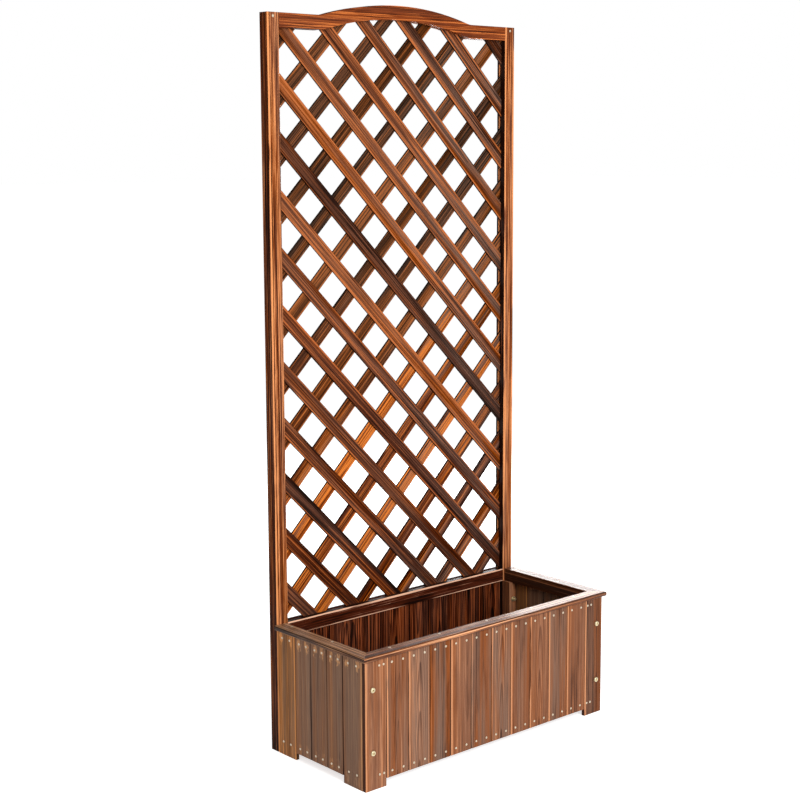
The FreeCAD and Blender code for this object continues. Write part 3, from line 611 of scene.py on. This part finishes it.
def slat_inputs(t, x, z, chance, below, above):
    """What the wood of a layer takes: chance is three random numbers for each slat."""
    raised = t.step(t.math("MULTIPLY_ADD", chance[0], 0.5, z), *UPWARD)
    tone = t.step(x, *RIGHTWARD, 0.29, 0.19)
    grey = t.step(x, *RIGHTWARD, 0.2, 1.1)
    inputs = {key: t.mix(raised, below[key], above[key]) for key in below}
    inputs.update({
        "Pith": t.combine(t.math("MULTIPLY_ADD", chance[0], 0.05, -0.025), 0.012, 0.0),
        "Tilt": (0.012, 0.01, 0.0),
        "Seed": t.math("MULTIPLY", chance[0], 90.0),
        "Level": t.math("MULTIPLY_ADD", chance[1], 0.40, tone),
        "Patina": t.math("MULTIPLY_ADD", chance[2], 0.6, grey),
        "Veins": 1.1,
        "Figure": 0.2,
        "Seam": 0.4,
        "Sides": 0.9,
        "Burn": 0.35,
        "Near": t.math("MULTIPLY", chance[0], 0.5),
        "Far": t.math("MULTIPLY", chance[1], 0.6),
        "Wear": 0.5,
    })
    return inputs


def dress_slats():
    """Burnt fir on both layers, where every slat has its own tone and grain."""
    for name, (lean, seed, below, above, band, contrast) in SLAT_LAYERS.items():
        low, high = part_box(name)
        centre = (0.0, (low.y + high.y) / 2, LATTICE_CENTRE)
        material, t = new_material(name + "_fir")
        x, y, z = t.separate(t.vector("SUBTRACT", t.place(), centre))
        point, number = slat_point(t, x, y, z, lean)
        white = t.add("ShaderNodeTexWhiteNoise", noise_dimensions="1D")
        t.put(white.inputs["W"], t.math("ADD", number, float(seed)))
        chance = t.separate(white.outputs["Color"])
        inputs = slat_inputs(t, x, z, chance, below, above)
        inputs["Band"] = t.math("MULTIPLY_ADD", chance[2], 0.8, band - 0.3)
        inputs["Contrast"] = contrast
        wood_surface(t, point, SLAT_HALF, seed, DEAD_MATT, inputs)
        dress(name, material)


# ---------------------------------------------------------------- fasteners

BLOTCH_SCALE = 420.0
SCRATCH_SCALE = 2600.0
DULLED = 0.62                   # brightness of the blotches
ZINC = srgb(214, 200, 176)
YELLOW_ZINC = srgb(220, 206, 168)


def metal(name, color, roughness):
    """Plated steel with blotches and fine scratches."""
    material, t = new_material(name + "_zinc")
    place = t.place()
    blotch = t.noise(place, BLOTCH_SCALE, detail=3.0)
    scratch = t.noise(place, SCRATCH_SCALE)
    dull = tuple(DULLED * value for value in color[:3]) + (1.0,)
    t.surface({
        "Base Color": t.mix(t.step(blotch, 0.35, 0.7), color, dull),
        "Metallic": 0.85,
        "Roughness": t.math("MULTIPLY_ADD", blotch, 0.25, roughness - 0.1),
        "Normal": t.relief(scratch, 0.15, 0.0002),
    })
    dress(name, material)


def dress_metal():
    """Dull zinc on nails and screws, yellowish zinc on the bolts."""
    for name in ("board_nails", "rim_screws", "frame_screws"):
        metal(name, ZINC, 0.42)
    for name in ("bolts", "washers", "nuts"):
        metal(name, YELLOW_ZINC, 0.36)


# ---------------------------------------------------------------- camera, floor and light

CAMERA_PLACE = Vector((-2.5678, -2.7907, 1.4519))
CAMERA_YAW = 0.716964           # from +Y towards +X, in radians
CAMERA_PITCH = 0.143599         # downwards
CAMERA_ROLL = -0.004792
CAMERA_LENS = 70.343            # millimetres
SENSOR_WIDTH = 36.0
CAMERA_SHIFT_Y = -0.03

FLOOR_REACH = 60.0
FLOOR_GLOW = 0.68
PAPER = (srgb(228, 228, 228), srgb(224, 224, 224))

SKY_SEEN = 1.0                  # what the camera sees
SKY_LIGHT = 0.6                 # light from the front and the sides
SKY_BEHIND = 0.15               # light from behind the trellis

# Lights: name, place, what they face, width and height in metres, and power in watts.
SOFTBOXES = (
    ("key", (-0.6, -4.2, 2.6), (0.0, 0.0, 0.8), 2.4, 2.4, 190.0),
    ("back", (2.9, 2.0, 1.3), (0.3, -0.1, 0.36), 1.8, 1.2, 90.0),
)


def camera():
    """The view of the photograph."""
    data = bpy.data.cameras.new("photo_camera")
    data.lens = CAMERA_LENS
    data.sensor_width = SENSOR_WIDTH
    data.sensor_fit = "HORIZONTAL"
    data.shift_y = CAMERA_SHIFT_Y
    item = bpy.data.objects.new("photo_camera", data)
    forward = Vector((math.sin(CAMERA_YAW) * math.cos(CAMERA_PITCH),
                      math.cos(CAMERA_YAW) * math.cos(CAMERA_PITCH), -math.sin(CAMERA_PITCH)))
    level = Vector((math.cos(CAMERA_YAW), -math.sin(CAMERA_YAW), 0.0))
    upright = level.cross(forward)
    right = math.cos(CAMERA_ROLL) * level + math.sin(CAMERA_ROLL) * upright
    up = -math.sin(CAMERA_ROLL) * level + math.cos(CAMERA_ROLL) * upright
    turn = Matrix((right, up, -forward)).transposed().to_4x4()
    item.matrix_world = Matrix.Translation(CAMERA_PLACE) @ turn
    bpy.context.scene.collection.objects.link(item)
    bpy.context.scene.camera = item


def floor():
    """A wide white floor: a little light of its own keeps it white round the shadows."""
    reach = FLOOR_REACH
    mesh = bpy.data.meshes.new("floor")
    corners = [(-reach, -reach, 0), (reach, -reach, 0), (reach, reach, 0), (-reach, reach, 0)]
    mesh.from_pydata(corners, [], [(0, 1, 2, 3)])
    item = bpy.data.objects.new("floor", mesh)
    bpy.context.scene.collection.objects.link(item)
    material, t = new_material("floor_paper")
    t.surface({
        "Base Color": t.mix(t.noise(t.place(), 3.0), *PAPER),
        "Roughness": 0.9,
        "Specular IOR Level": 0.1,
        "Emission Color": WHITE,
        "Emission Strength": FLOOR_GLOW,
    })
    mesh.materials.append(material)


def softbox(name, place, target, width, height, power):
    """A rectangular area light that faces a point."""
    data = bpy.data.lights.new(name, "AREA")
    data.shape = "RECTANGLE"
    data.size = width
    data.size_y = height
    data.energy = power
    item = bpy.data.objects.new(name, data)
    item.location = place
    item.rotation_euler = (Vector(target) - Vector(place)).to_track_quat("-Z", "Y").to_euler()
    item.visible_camera = False
    bpy.context.scene.collection.objects.link(item)


def studio():
    """White surroundings, a large light before the front boards and one behind the box."""
    world = bpy.data.worlds.new("studio")
    world.use_nodes = True
    t = Tree(world.node_tree)
    seen = t.add("ShaderNodeLightPath").outputs["Is Camera Ray"]
    toward = t.separate(t.add("ShaderNodeTexCoord").outputs["Generated"])
    light = t.step(toward[Y_AXIS], 0.0, 0.7, SKY_LIGHT, SKY_BEHIND)
    sky = t.add("ShaderNodeBackground")
    t.put(sky.inputs["Color"], WHITE)
    t.put(sky.inputs["Strength"], t.math("MAXIMUM", light, t.math("MULTIPLY", seen, SKY_SEEN)))
    out = t.add("ShaderNodeOutputWorld")
    t.put(out.inputs["Surface"], sky.outputs[0])
    bpy.context.scene.world = world
    for light_values in SOFTBOXES:
        softbox(*light_values)


bpy.context.scene.view_settings.view_transform = "Standard"
camera()
floor()
studio()
dress_front()
dress_sides()
dress_back()
dress_rim()
dress_frame()
dress_inside()
dress_slats()
dress_metal()
